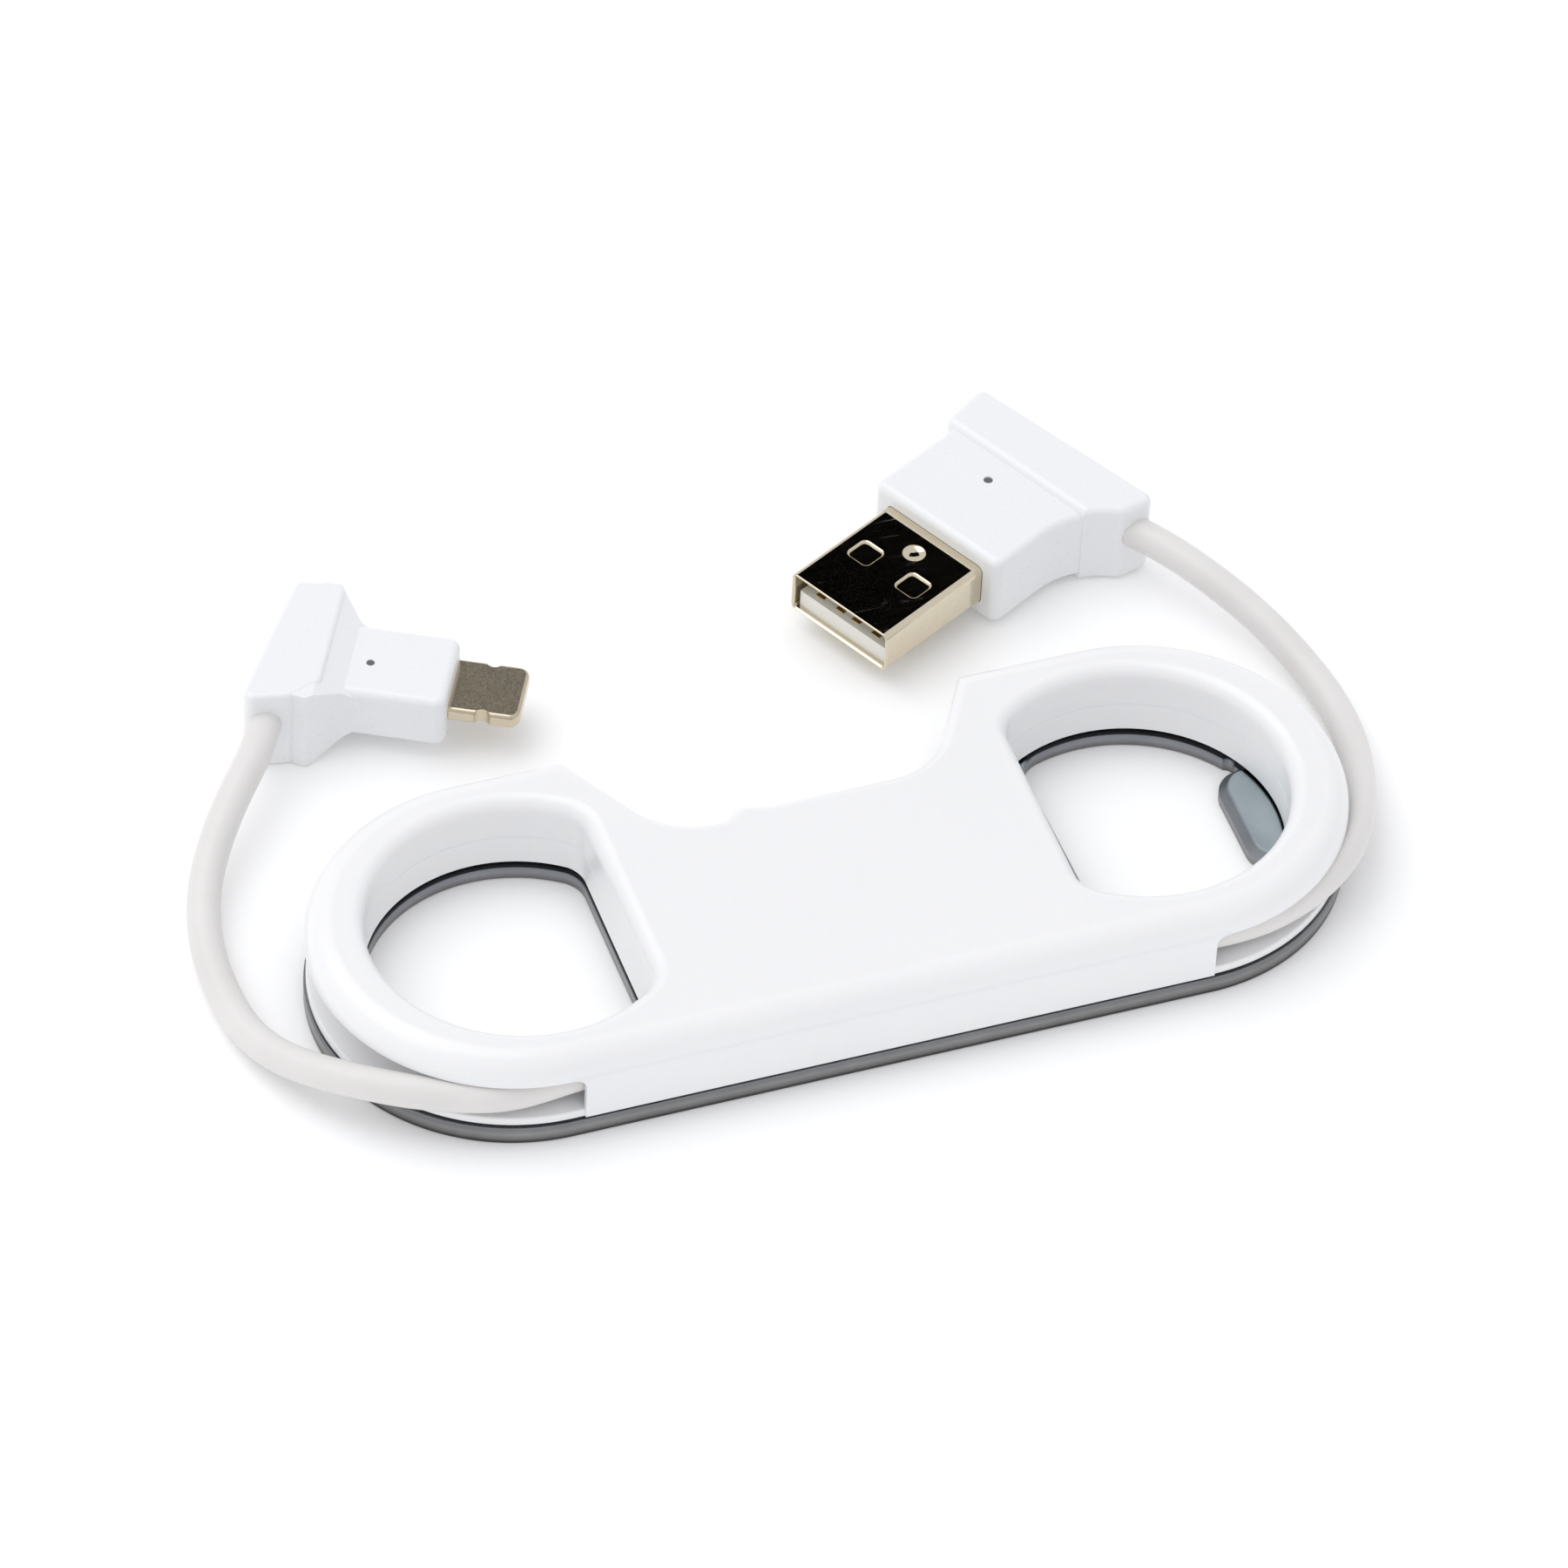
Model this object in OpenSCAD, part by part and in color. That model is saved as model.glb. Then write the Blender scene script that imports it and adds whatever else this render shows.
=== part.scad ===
// Key-ring sized bottle opener whose grooved housing carries a short charging cable.
// The housing lies flat: +X is its length, +Y the side with the plug recess, +Z up.
// The origin is the middle of the underside.

/* [Housing] */
// Distance from the middle to the centre of each round end
end_x = 30.2; // [28:0.1:38]
// Radius of the round ends, which is half the width
body_r = 18.4; // [17.4:0.1:21]
// Height of the housing with its steel plate
body_h = 9.8; // [9.4:0.1:12]
// Rounding of the outer top edge
edge_r = 2.6; // [1:0.1:2.6]
// Half width of the solid bridge between the two finger holes
bridge_half = 20.1; // [18:0.1:22]
// How far each finger hole's centre lies inside its round end's centre
hole_shift = 0.9; // [0:0.1:2]
// Corner radius of the D-shaped finger holes
hole_corner_r = 3; // [2:0.1:5]
// Rounding of the finger holes' top edge
hole_edge_r = 1.5; // [0.5:0.1:1.8]
// Height of the parting line between the two shells
split_z = 5.4; // [4.8:0.1:6]

/* [Steel plate] */
// Thickness of the steel plate
plate_t = 1.9; // [1.4:0.1:2.4]
// Height of the shadow line between the plate and the shells
shadow_h = 0.25; // [0.15:0.05:0.5]
// Depth of that shadow line in the finger holes
shadow_depth = 0.4; // [0.2:0.05:0.6]
// How far the pry lip stands out from the bridge into the right hole
lip_reach = 3.2; // [2:0.1:5]
// Distance from the pry lip to the edge of the tooth
mouth_gap = 15.8; // [14.5:0.1:17]
// Half width of the tooth
tooth_half = 6.3; // [5:0.1:7]
// Corner radius of the tooth
tooth_corner_r = 3; // [2:0.1:4]
// Bevel along the top edge of the tooth
tooth_bevel = 0.85; // [0.3:0.05:1.2]
// Radius of the notch at each root of the tooth
notch_r = 0.8; // [0.4:0.1:1.2]

/* [Cable groove] */
// Diameter of the cable
cable_d = 3.1; // [2.6:0.1:3.4]
// Height of the cable's middle in the groove
cable_z = 5.4; // [5.2:0.1:5.6]
// Free space on each side of the cable in the tunnel
groove_clear = 0.1; // [0.05:0.05:0.3]
// Wall between the groove and the finger holes
groove_wall = 0.5; // [0.4:0.05:1]
// Thickness of the skirt that covers the tunnel
skirt_t = 0.7; // [0.5:0.05:1]
// Half length of the skirt
skirt_half = 29.8; // [24:0.1:30]
// Top of the lower flange
flange_z = 3; // [2.6:0.1:3.6]
// How far the flange stays back from the outer edge
flange_inset = 0.2; // [0.1:0.05:0.6]
// Free space over the cable, below the upper lip
lip_clear = 0.1; // [0.05:0.05:0.3]

/* [Plug recess] */
// Where the right flank meets the outer edge
recess_right = 18.7; // [17:0.1:20]
// Where the left flank meets the outer edge
recess_left = 20.2; // [18.5:0.1:21]
// Slope of the flanks
flank_angle = 60; // [50:1:75]
// Distance of the right bay's floor from the middle line
bay_right_y = 7; // [6.5:0.1:8]
// Distance of the left bay's floor from the middle line
bay_left_y = 6.3; // [6:0.1:7]
// Corner radius of the right bay
bay_right_r = 7; // [4:0.1:8]
// Corner radius of the left bay
bay_left_r = 9; // [5:0.1:9]
// Rounding of the recess's top edge
recess_edge_r = 1.2; // [0.5:0.1:1.5]

/* [Sockets and pegs] */
// Free space round a stowed plug
socket_clear = 0.2; // [0.1:0.05:0.4]
// Middle of the socket for the wide plug
usb_socket_x = 5.4; // [4.8:0.1:6]
// Middle of the socket for the blade plug
phone_socket_x = -10.6; // [-11:0.1:-9.5]
// Sideways place of the four pegs
peg_x = 16.8; // [16.4:0.1:17.5]
// Distance between the two rows of pegs
peg_pitch = 12; // [10:0.5:14]
// Radius of the heat-staked pegs that hold the plate
stake_r = 1.2; // [0.8:0.1:1.5]
// Radius of the alignment pegs between the shells
align_r = 1; // [0.6:0.1:1.2]
// Length of the alignment pegs
align_h = 1.6; // [1:0.1:2]

/* [Wide plug] */
// Width of the metal shell
usb_w = 12; // [11.5:0.1:12.5]
// Height of the metal shell
usb_h = 4.5; // [4.3:0.1:4.7]
// Thickness of the shell's sheet
usb_sheet = 0.3; // [0.25:0.05:0.4]
// Length of shell that stands out of the moulding
usb_reach = 12.9; // [12:0.1:14]
// Length of shell inside the moulding
usb_root = 5.8; // [4:0.1:6]
// Half width of the moulding's neck
usb_neck_half = 7.9; // [7:0.1:8.4]
// Height of the moulding's neck
usb_neck_h = 7.8; // [7:0.1:8.4]
// Radius of the moulding's curved flank
usb_sweep_r = 8.3; // [7:0.1:9.5]

/* [Blade plug] */
// Width of the blade
blade_w = 6.7; // [6.5:0.1:6.9]
// Thickness of the blade
blade_t = 1.5; // [1.4:0.05:1.6]
// Length of blade that stands out of the moulding
blade_reach = 6.6; // [6:0.1:7.2]
// Length of blade inside the moulding
blade_root = 2.4; // [2:0.1:3]
// Distance between neighbouring contacts
contact_pitch = 0.6; // [0.55:0.05:0.65]
// Width of one contact
contact_w = 0.38; // [0.3:0.02:0.42]
// Height of the moulding's neck
phone_neck_h = 5.6; // [5:0.1:6.2]

/* [Mouldings] */
// Height of both mouldings' bars
bar_h = 9; // [8.6:0.1:9.6]
// Rounding of the mouldings' edges
mould_edge_r = 0.8; // [0.4:0.05:0.8]
// Depth of the dimple that the cable comes out of
exit_depth = 0.8; // [0.5:0.1:1]
// Free space round the cable in that dimple
exit_clear = 0.45; // [0.3:0.05:0.6]

/* [Hidden] */
$fn = 96;

// A cutter runs this far past the face that it cuts
past = 1;
groove_r = body_r - skirt_t - cable_d - 2 * groove_clear;
hole_r = groove_r - groove_wall;
hole_x = end_x - hole_shift;
shell_z = plate_t + shadow_h;
lip_z = cable_z + cable_d / 2 + lip_clear;
lip_x = bridge_half + lip_reach;
tooth_x = lip_x + mouth_gap;

plug_z = bar_h / 2;
socket_z = (plate_t + body_h) / 2;
usb_len = usb_reach + usb_root;

// Tip of each plug on the floor plan and the direction from the tip back along the plug
usb_tip = [11.9, 31.9];
usb_turn = 27.6;
phone_tip = [-18.9, 30.7];
phone_turn = 152.2;
// Middle of each cable exit, as distance behind the tip and to the left of the plug
usb_exit = [27.7, -11.8];
phone_exit = [22.6, 8.7];

// Route of the cable between the two exits, chosen by hand
ROUTE = [
    [44.1, 31.4, 5.3], [47.0, 27.0, 4.6], [49.8, 22.3, 3.4], [51.9, 17.0, 2.3], [53.0, 11.0, 1.8],
    [52.6, 5.0, 2.1], [51.0, -0.4, 3.4], [48.8, -5.6, 4.7], [46.3, -9.6, 5.3], [42.9, -12.6, 5.4],
    [39.2, -14.6, 5.4], [35.0, -15.8, 5.4], [30.0, -16.0, 5.4], [20.0, -16.0, 5.4],
    [7.0, -16.0, 5.4], [-7.0, -16.0, 5.4], [-20.0, -16.0, 5.4], [-30.0, -16.1, 5.4],
    [-35.4, -16.5, 5.4], [-40.2, -15.3, 5.4], [-44.8, -13.0, 5.3], [-49.0, -9.4, 4.5],
    [-52.4, -5.0, 3.2], [-54.5, 0.6, 2.0], [-55.1, 6.6, 1.7], [-54.7, 12.6, 1.9],
    [-53.0, 18.3, 2.8], [-50.4, 22.9, 3.9], [-47.2, 27.2, 4.9], [-44.6, 30.6, 5.3]
];
cable_sides = 8;

// Turns a vector to length 1
function unit(v) = v / norm(v);

// Point of a plan seen from a plug's tip: back along the plug, then to its left
function plug_point(tip, turn, p) =
    tip + [p[0] * cos(turn) - p[1] * sin(turn), p[0] * sin(turn) + p[1] * cos(turn)];

// One corner of a closed outline of [x, y, radius] points, run counter-clockwise:
// [centre, radius, start angle, turn angle, 1 where it bulges outward and -1 where it is hollow]
function corner(pts, i) =
    let (
        n = len(pts),
        v = [pts[i][0], pts[i][1]],
        before = unit([pts[(i + n - 1) % n][0], pts[(i + n - 1) % n][1]] - v),
        after = unit([pts[(i + 1) % n][0], pts[(i + 1) % n][1]] - v),
        half = acos(before * after) / 2,
        way = before[1] * after[0] - before[0] * after[1] > 0 ? 1 : -1,
        centre = v + unit(before + after) * pts[i][2] / sin(half),
        start = atan2(before[1], before[0]) + 90 * way
    )
    [centre, pts[i][2], start, 180 - 2 * half, way];

// Points along an outline, each moved outward by grow, with those that would repeat
function all_points(pts, grow) = [
    for (i = [0:len(pts) - 1])
        let (c = corner(pts, i), steps = pts[i][2] > 0 ? ceil(c[3] / 9) : 0)
        for (k = [0:steps])
            let (a = c[2] + c[4] * c[3] * (steps > 0 ? k / steps : 0.5))
            steps > 0
                ? c[0] + (c[1] + c[4] * grow) * [cos(a), sin(a)]
                : c[0] + c[4] * grow / cos(c[3] / 2) * [cos(a), sin(a)]
];

// The same points without those that repeat the one before them
function outline_points(pts, grow) =
    let (p = all_points(pts, 0), moved = all_points(pts, grow), n = len(p))
    [for (i = [0:n - 1]) if (norm(p[i] - p[(i + n - 1) % n]) > 0.001) moved[i]];

// Area inside an outline
module outline(pts, grow = 0) {
    polygon(outline_points(pts, grow));
}

// Solid whose section at each height is an outline: levels are [height, grow] pairs, lowest first
module loft(pts, levels) {
    rings = [for (l = levels) [for (p = outline_points(pts, l[1])) [p[0], p[1], l[0]]]];
    n = len(rings[0]);
    last = len(rings) - 1;
    polyhedron(
        points = [for (r = rings, p = r) p],
        faces = concat(
            [[for (k = [0:n - 1]) k]],
            [for (i = [0:last - 1], k = [0:n - 1])
                [i * n + k, (i + 1) * n + k, (i + 1) * n + (k + 1) % n, i * n + (k + 1) % n]],
            [[for (k = [n - 1:-1:0]) last * n + k]]
        )
    );
}

// Levels of a slab with round edges
edge_steps = 5;
function slab_levels(z0, z1, e) = concat(
    [for (k = [0:edge_steps]) [z0 + e - e * cos(90 * k / edge_steps), e * sin(90 * k / edge_steps) - e]],
    [for (k = [0:edge_steps]) [z1 - e + e * sin(90 * k / edge_steps), e * cos(90 * k / edge_steps) - e]]
);

// Levels of a cutter whose mouth at height z flares with the radius e
function flare_levels(z, e) = concat(
    [[-past, 0]],
    [for (k = [0:edge_steps]) [z - e + e * sin(90 * k / edge_steps), e - e * cos(90 * k / edge_steps)]],
    [[z + past, e]]
);

// Rectangle with round corners, centred
module round_rect(w, h, r) {
    square([w - 2 * r, h], center = true);
    square([w, h - 2 * r], center = true);
    for (x = [-1, 1], y = [-1, 1]) translate([x * (w / 2 - r), y * (h / 2 - r)]) circle(r);
}

// Bar along +X with a centred section of round corners
module bar_x(x0, x1, w, h, r) {
    translate([x0, 0, 0]) rotate([90, 0, 90]) linear_extrude(x1 - x0) round_rect(w, h, r);
}

// Plan of the housing, moved outward by grow
module stadium(grow = 0) {
    square([2 * end_x, 2 * (body_r + grow)], center = true);
    for (side = [-1, 1]) translate([side * end_x, 0]) circle(body_r + grow);
}

// The housing's upper part from z0 up, with its top edge rounded
module rounded_cap(z0) {
    for (side = [0, 1]) mirror([side, 0, 0]) translate([end_x, 0, 0]) rotate([0, 0, -90])
        rotate_extrude(angle = 180) cap_section(z0);
    translate([-end_x, 0, 0]) rotate([90, 0, 90]) linear_extrude(2 * end_x) {
        cap_section(z0);
        mirror([1, 0]) cap_section(z0);
    }
}

// Half section of that part, from its middle to its edge
module cap_section(z0) {
    translate([0, z0]) square([body_r - edge_r, body_h - z0]);
    translate([0, z0]) square([body_r, body_h - edge_r - z0]);
    intersection() {
        translate([body_r - edge_r, body_h - edge_r]) circle(edge_r);
        translate([body_r - edge_r, body_h - edge_r]) square(edge_r + past);
    }
}

// Corners of the right D-shaped hole with its flat at x = flat
function d_hole(flat) =
    let (
        r = hole_r,
        rc = hole_corner_r,
        cx = flat + rc,
        cy = sqrt(pow(r - rc, 2) - pow(cx - hole_x, 2)),
        meet = atan2(cy, cx - hole_x),
        top = (meet - 90) / 2,
        side = (180 - meet) / 2,
        shoulder = [hole_x + r * cos(90 + top) / cos(top), r * sin(90 + top) / cos(top)],
        foot = [cx + rc * cos(meet + side) / cos(side), cy + rc * sin(meet + side) / cos(side)]
    )
    [[hole_x + r, -r, r], [hole_x + r, r, r], [shoulder[0], shoulder[1], r], [foot[0], foot[1], rc],
     [foot[0], -foot[1], rc], [shoulder[0], -shoulder[1], r]];

// Outline of the recess, run past the far edge of the housing
recess_y = body_r + 4;
recess_top_l = recess_left + 4 / tan(flank_angle);
recess_top_r = recess_right + 4 / tan(flank_angle);
recess_foot_l = recess_left - (body_r - bay_left_y) / tan(flank_angle);
recess_foot_r = recess_right - (body_r - bay_right_y) / tan(flank_angle);
// Nose between the two bays: its foot, its tip and where it runs out into the right bay
nose_foot_x = -8.2;
nose_tip = [-6.4, 7.7];
nose_end_x = -3.6;
nose_r = 1.5;
RECESS = [
    [recess_top_r, recess_y, 0], [-recess_top_l, recess_y, 0],
    [-recess_foot_l, bay_left_y, min(bay_left_r, (recess_foot_l + nose_foot_x - 0.7) / tan(flank_angle / 2))],
    [nose_foot_x, bay_left_y, nose_r], [nose_tip[0], nose_tip[1], nose_r], [nose_end_x, bay_right_y, 4],
    [recess_foot_r, bay_right_y, bay_right_r]
];

// Both finger holes through the shells, flared at the top
module finger_holes() {
    for (side = [0, 1]) mirror([side, 0, 0])
        loft(d_hole(bridge_half), flare_levels(body_h, hole_edge_r));
}

// Both finger holes as straight cuts, moved outward by grow
module straight_holes(grow) {
    for (side = [0, 1]) mirror([side, 0, 0]) translate([0, 0, -past]) linear_extrude(body_h)
        outline(d_hole(bridge_half), grow);
}

// The recess through the shells, flared at the top
module recess() {
    loft(RECESS, flare_levels(body_h, recess_edge_r));
}

// Groove all round the housing, which the skirt closes to a tunnel on the near side
module groove() {
    translate([0, 0, flange_z]) linear_extrude(lip_z - flange_z) difference() {
        stadium(past);
        stadium(groove_r - body_r);
        skirt_plan(0);
    }
}

// Plan of the skirt, grown inward and sideways by grow
module skirt_plan(grow) {
    translate([-skirt_half - grow, -body_r - past])
        square([2 * (skirt_half + grow), past + skirt_t + grow]);
}

// Sockets in the recess's floor that hold the tips of the stowed plugs
module sockets() {
    translate([usb_socket_x, bay_right_y + past, socket_z]) rotate([0, 0, -90])
        bar_x(0, usb_reach + past, usb_w + 2 * socket_clear, usb_h + 2 * socket_clear, 0.8);
    translate([phone_socket_x, bay_left_y + past, socket_z]) rotate([0, 0, -90])
        bar_x(0, blade_reach + past + 0.4, blade_w + 2 * socket_clear, blade_t + 2 * socket_clear, 0.7);
}

// Places the four pegs
module pegs() {
    for (x = [-peg_x, peg_x], y = [0, -peg_pitch]) translate([x, y + 2.4, 0]) children();
}

module opener_plate() {
    corner_x = tooth_x + tooth_corner_r;
    corner_y = tooth_half - tooth_corner_r;
    root_y = tooth_half + notch_r * 0.7;
    root_x = hole_x + sqrt(pow(hole_r, 2) - pow(root_y, 2)) - notch_r * 0.6;
    color("dimgray") difference() {
        union() {
            linear_extrude(plate_t) difference() {
                stadium();
                outline(RECESS);
                mirror([1, 0]) outline(d_hole(bridge_half));
                outline(d_hole(lip_x));
            }
            // Tooth, with its top edge bevelled
            translate([0, -corner_y, 0]) rotate([-90, 0, 0]) linear_extrude(2 * corner_y)
                polygon([[tooth_x, 0], [tooth_x, tooth_bevel - plate_t], [tooth_x + tooth_bevel, -plate_t],
                         [hole_x + hole_r + past, -plate_t], [hole_x + hole_r + past, 0]]);
            for (side = [-1, 1]) translate([corner_x, side * corner_y, 0]) {
                cylinder(r = tooth_corner_r, h = plate_t - tooth_bevel);
                translate([0, 0, plate_t - tooth_bevel])
                    cylinder(r1 = tooth_corner_r, r2 = tooth_corner_r - tooth_bevel, h = tooth_bevel);
            }
        }
        for (side = [-1, 1]) translate([root_x, side * root_y, -past])
            cylinder(r = notch_r, h = plate_t + 2 * past);
        pegs() translate([0, 0, -past]) cylinder(r = stake_r, h = plate_t + 2 * past);
    }
}

module lower_shell() {
    color("white") difference() {
        union() {
            translate([0, 0, plate_t]) linear_extrude(split_z - plate_t) stadium(groove_r - body_r);
            translate([0, 0, shell_z]) linear_extrude(flange_z - shell_z) stadium(-flange_inset);
            translate([0, 0, plate_t]) linear_extrude(shell_z - plate_t) stadium(-shadow_depth - 1);
            pegs() translate([0, 0, 0.3]) cylinder(r = stake_r, h = plate_t);
        }
        straight_holes(0);
        translate([0, 0, shell_z - body_h + past]) straight_holes(shadow_depth);
        recess();
        sockets();
        translate([0, 0, plate_t - past]) linear_extrude(split_z) skirt_plan(groove_clear);
        pegs() translate([0, 0, split_z - align_h]) cylinder(r = align_r, h = align_h + past);
    }
}

module upper_shell() {
    color("white") {
        difference() {
            rounded_cap(split_z);
            finger_holes();
            recess();
            sockets();
            groove();
        }
        // Skirt over the tunnel
        translate([0, 0, shell_z]) linear_extrude(split_z - shell_z) intersection() {
            skirt_plan(0);
            stadium();
        }
        pegs() translate([0, 0, split_z - align_h]) cylinder(r = align_r, h = align_h + past);
    }
}

// Ring of points round one place of the cable, square to the direction d
function ring(c, d) =
    let (side = unit(cross([0, 0, 1], d)), up = cross(d, side))
    [for (k = [0:cable_sides - 1]) let (a = (k + 0.5) * 360 / cable_sides)
        c + cable_d / 2 * (cos(a) * side + sin(a) * up)];

module cable() {
    usb_end = plug_point(usb_tip, usb_turn, usb_exit + [0, exit_depth]);
    phone_end = plug_point(phone_tip, phone_turn, phone_exit - [0, exit_depth]);
    places = concat([[usb_end[0], usb_end[1], cable_z]], ROUTE, [[phone_end[0], phone_end[1], cable_z]]);
    last = len(places) - 1;
    first_way = [sin(usb_turn), -cos(usb_turn), 0];
    last_way = [sin(phone_turn), -cos(phone_turn), 0];
    rings = [for (i = [0:last]) ring(places[i],
        i == 0 ? first_way : i == last ? last_way : unit(places[i + 1] - places[i - 1]))];
    n = cable_sides;
    color("gainsboro") polyhedron(
        points = [for (r = rings, p = r) p],
        faces = concat(
            [[for (k = [0:n - 1]) k]],
            [for (i = [0:last - 1], k = [0:n - 1])
                [i * n + k, (i + 1) * n + k, (i + 1) * n + (k + 1) % n, i * n + (k + 1) % n]],
            [[for (k = [n - 1:-1:0]) last * n + k]]
        )
    );
}

// Puts a plug drawn with its tip at the origin, running back along +X, in its place
module place_plug(tip, turn) {
    translate([tip[0], tip[1], plug_z]) rotate([0, 0, turn]) children();
}

module usb_shell() {
    window = 2.5;
    color("silver") place_plug(usb_tip, usb_turn) difference() {
        bar_x(0, usb_len, usb_w, usb_h, 0.6);
        bar_x(-past, usb_len + past, usb_w - 2 * usb_sheet, usb_h - 2 * usb_sheet, 0.3);
        for (side = [-1, 1]) translate([6.7, side * 3, 0])
            cube([window, window, usb_h + 2 * past], center = true);
    }
}

tongue_w = usb_w - 2 * usb_sheet - 0.6;
tongue_top = -0.1;
tongue_base_x = 11.8;
tongue_end_x = usb_len - 1.2;
tongue_bottom = -usb_h / 2 + usb_sheet;
usb_contact_t = 0.25;
usb_contact_end = usb_len + 2.5;

module usb_tongue() {
    color("whitesmoke") place_plug(usb_tip, usb_turn) difference() {
        union() {
            translate([0.6, -tongue_w / 2, tongue_bottom])
                cube([tongue_end_x - 0.6, tongue_w, tongue_top - tongue_bottom]);
            bar_x(tongue_base_x, tongue_end_x, usb_w - 2 * usb_sheet, usb_h - 2 * usb_sheet, 0.3);
        }
        for (i = [1:4]) usb_contact_strip(i);
    }
}

// Spring strip of one contact, counted from the plug's right
module usb_contact_strip(i) {
    y = [-3.5, -1, 1, 3.5][i - 1];
    translate([1.2, y - 0.5, tongue_top - usb_contact_t + 0.05])
        cube([usb_contact_end - 1.2, 1, usb_contact_t]);
}

module usb_contact(i) {
    color("gold") place_plug(usb_tip, usb_turn) usb_contact_strip(i);
}

inner_mould_w = 11.6;
inner_mould_h = 4.8;
inner_mould_end = usb_len + 5.3;

module usb_inner_mould_solid() {
    bar_x(tongue_end_x, usb_len, usb_w - 2 * usb_sheet, usb_h - 2 * usb_sheet, 0.3);
    bar_x(usb_len, inner_mould_end, inner_mould_w, inner_mould_h, 0.6);
}

module usb_inner_mould() {
    color("ivory") place_plug(usb_tip, usb_turn) difference() {
        usb_inner_mould_solid();
        for (i = [1:4]) usb_contact_strip(i);
    }
}

// Dimple in a moulding's end face that the cable comes out of, at exit point p, way 1 or -1
module cable_dimple(p, way) {
    translate([p[0], p[1] - way * exit_depth, cable_z - plug_z]) rotate([-90 * way, 0, 0])
        cylinder(r = cable_d / 2 + exit_clear, h = exit_depth + past);
}

// The moulding's cable flank sweeps out along an arc of this centre
sweep = [19.3, -usb_neck_half - usb_sweep_r];

// Corner that an arc of the flank rounds, between two angles counted from the neck's side
function sweep_knee(a, b) =
    sweep + usb_sweep_r / cos((b - a) / 2) * [sin((a + b) / 2), cos((a + b) / 2)];

module usb_overmould() {
    front = usb_reach;
    bar_front = 23.4;
    start_a = asin((bar_front - sweep[0]) / usb_sweep_r);
    end_a = 51;
    face_x = sweep[0] + usb_sweep_r * sin(end_a) + 0.4;
    face_y = sweep[1] + usb_sweep_r * cos(end_a) - 0.4 * tan(end_a);
    bar_knee = sweep_knee(start_a + 4, end_a);
    // The neck's flank ends inside the bar, this much behind the bar's own
    tuck = 0.12;
    neck_end_a = start_a + 12;
    neck_knee = sweep_knee(0, neck_end_a) + [0, tuck];
    neck_end = sweep + usb_sweep_r * [sin(neck_end_a), cos(neck_end_a)] + [0.3, tuck - 0.3 * tan(neck_end_a)];
    neck = [[neck_end[0], neck_end[1], 0], [27.5, -9, 0], [27.5, 7, 0], [24.5, usb_neck_half, 0],
            [front, usb_neck_half, 1], [front, -usb_neck_half, 1], [neck_knee[0], neck_knee[1], usb_sweep_r]];
    bar = [[bar_front, sweep[1] + usb_sweep_r * cos(start_a), 0], [bar_knee[0], bar_knee[1], usb_sweep_r],
           [face_x, face_y, 0.8], [29.9, -12.4, 1], [29.2, 9.4, 1], [bar_front, 8.7, 1]];
    color("whitesmoke") place_plug(usb_tip, usb_turn) difference() {
        union() {
            loft(neck, slab_levels(-usb_neck_h / 2, usb_neck_h / 2, mould_edge_r));
            loft(bar, slab_levels(-bar_h / 2, bar_h / 2, mould_edge_r));
        }
        bar_x(front - past, usb_len, usb_w, usb_h, 0.6);
        bar_x(usb_len, inner_mould_end, inner_mould_w, inner_mould_h, 0.6);
        cable_dimple(usb_exit, -1);
    }
}

blade_end = blade_reach + blade_root;
pocket_x0 = 1.5;
pocket_x1 = 5.6;
pocket_half = 2.65;
pocket_depth = 0.7;

module blade_frame_solid() {
    intersection() {
        bar_x(0, blade_end, blade_w, blade_t, blade_t / 2 - 0.05);
        translate([0, 0, -blade_t]) linear_extrude(2 * blade_t) {
            translate([1, -blade_w / 2]) square([blade_end, blade_w]);
            translate([0, 1 - blade_w / 2]) square([blade_end, blade_w - 2]);
            for (side = [-1, 1]) translate([1, side * (blade_w / 2 - 1)]) circle(1);
        }
    }
}

module blade_frame() {
    color("rosybrown") place_plug(phone_tip, phone_turn) difference() {
        blade_frame_solid();
        blade_pocket();
        for (side = [-1, 1]) translate([3.5, side * (blade_w / 2 + 0.35), -blade_t])
            cylinder(r = 0.7, h = 2 * blade_t);
    }
}

module blade_pocket() {
    translate([pocket_x0, -pocket_half, -blade_t / 2 - past])
        cube([pocket_x1 - pocket_x0, 2 * pocket_half, pocket_depth + past]);
}

module blade_insulator() {
    color("dimgray") place_plug(phone_tip, phone_turn) difference() {
        translate([pocket_x0, -pocket_half, -blade_t / 2 + 0.05])
            cube([pocket_x1 - pocket_x0, 2 * pocket_half, pocket_depth - 0.05]);
        for (i = [1:8]) contact_pad(i);
    }
}

// Flat contact in the blade's underside
module contact_pad(i) {
    translate([pocket_x0 + 0.5, (i - 4.5) * contact_pitch - contact_w / 2, -blade_t / 2 + 0.02])
        cube([pocket_x1 - pocket_x0 - 1, contact_w, 0.2]);
}

module phone_contact(i) {
    color("gold") place_plug(phone_tip, phone_turn) contact_pad(i);
}

board_len = 7;
board_w = 5.8;
board_t = 0.8;
chip_size = [2.6, 2.4, 0.7];

module phone_board_solid() {
    translate([blade_end, -board_w / 2, -board_t / 2]) cube([board_len, board_w, board_t]);
}

module phone_chip_solid() {
    translate([blade_end + 1.6, -chip_size[1] / 2, board_t / 2]) cube(chip_size);
}

module phone_board() {
    color("darkgreen") place_plug(phone_tip, phone_turn) phone_board_solid();
}

module phone_chip() {
    color("black") place_plug(phone_tip, phone_turn) phone_chip_solid();
}

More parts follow.
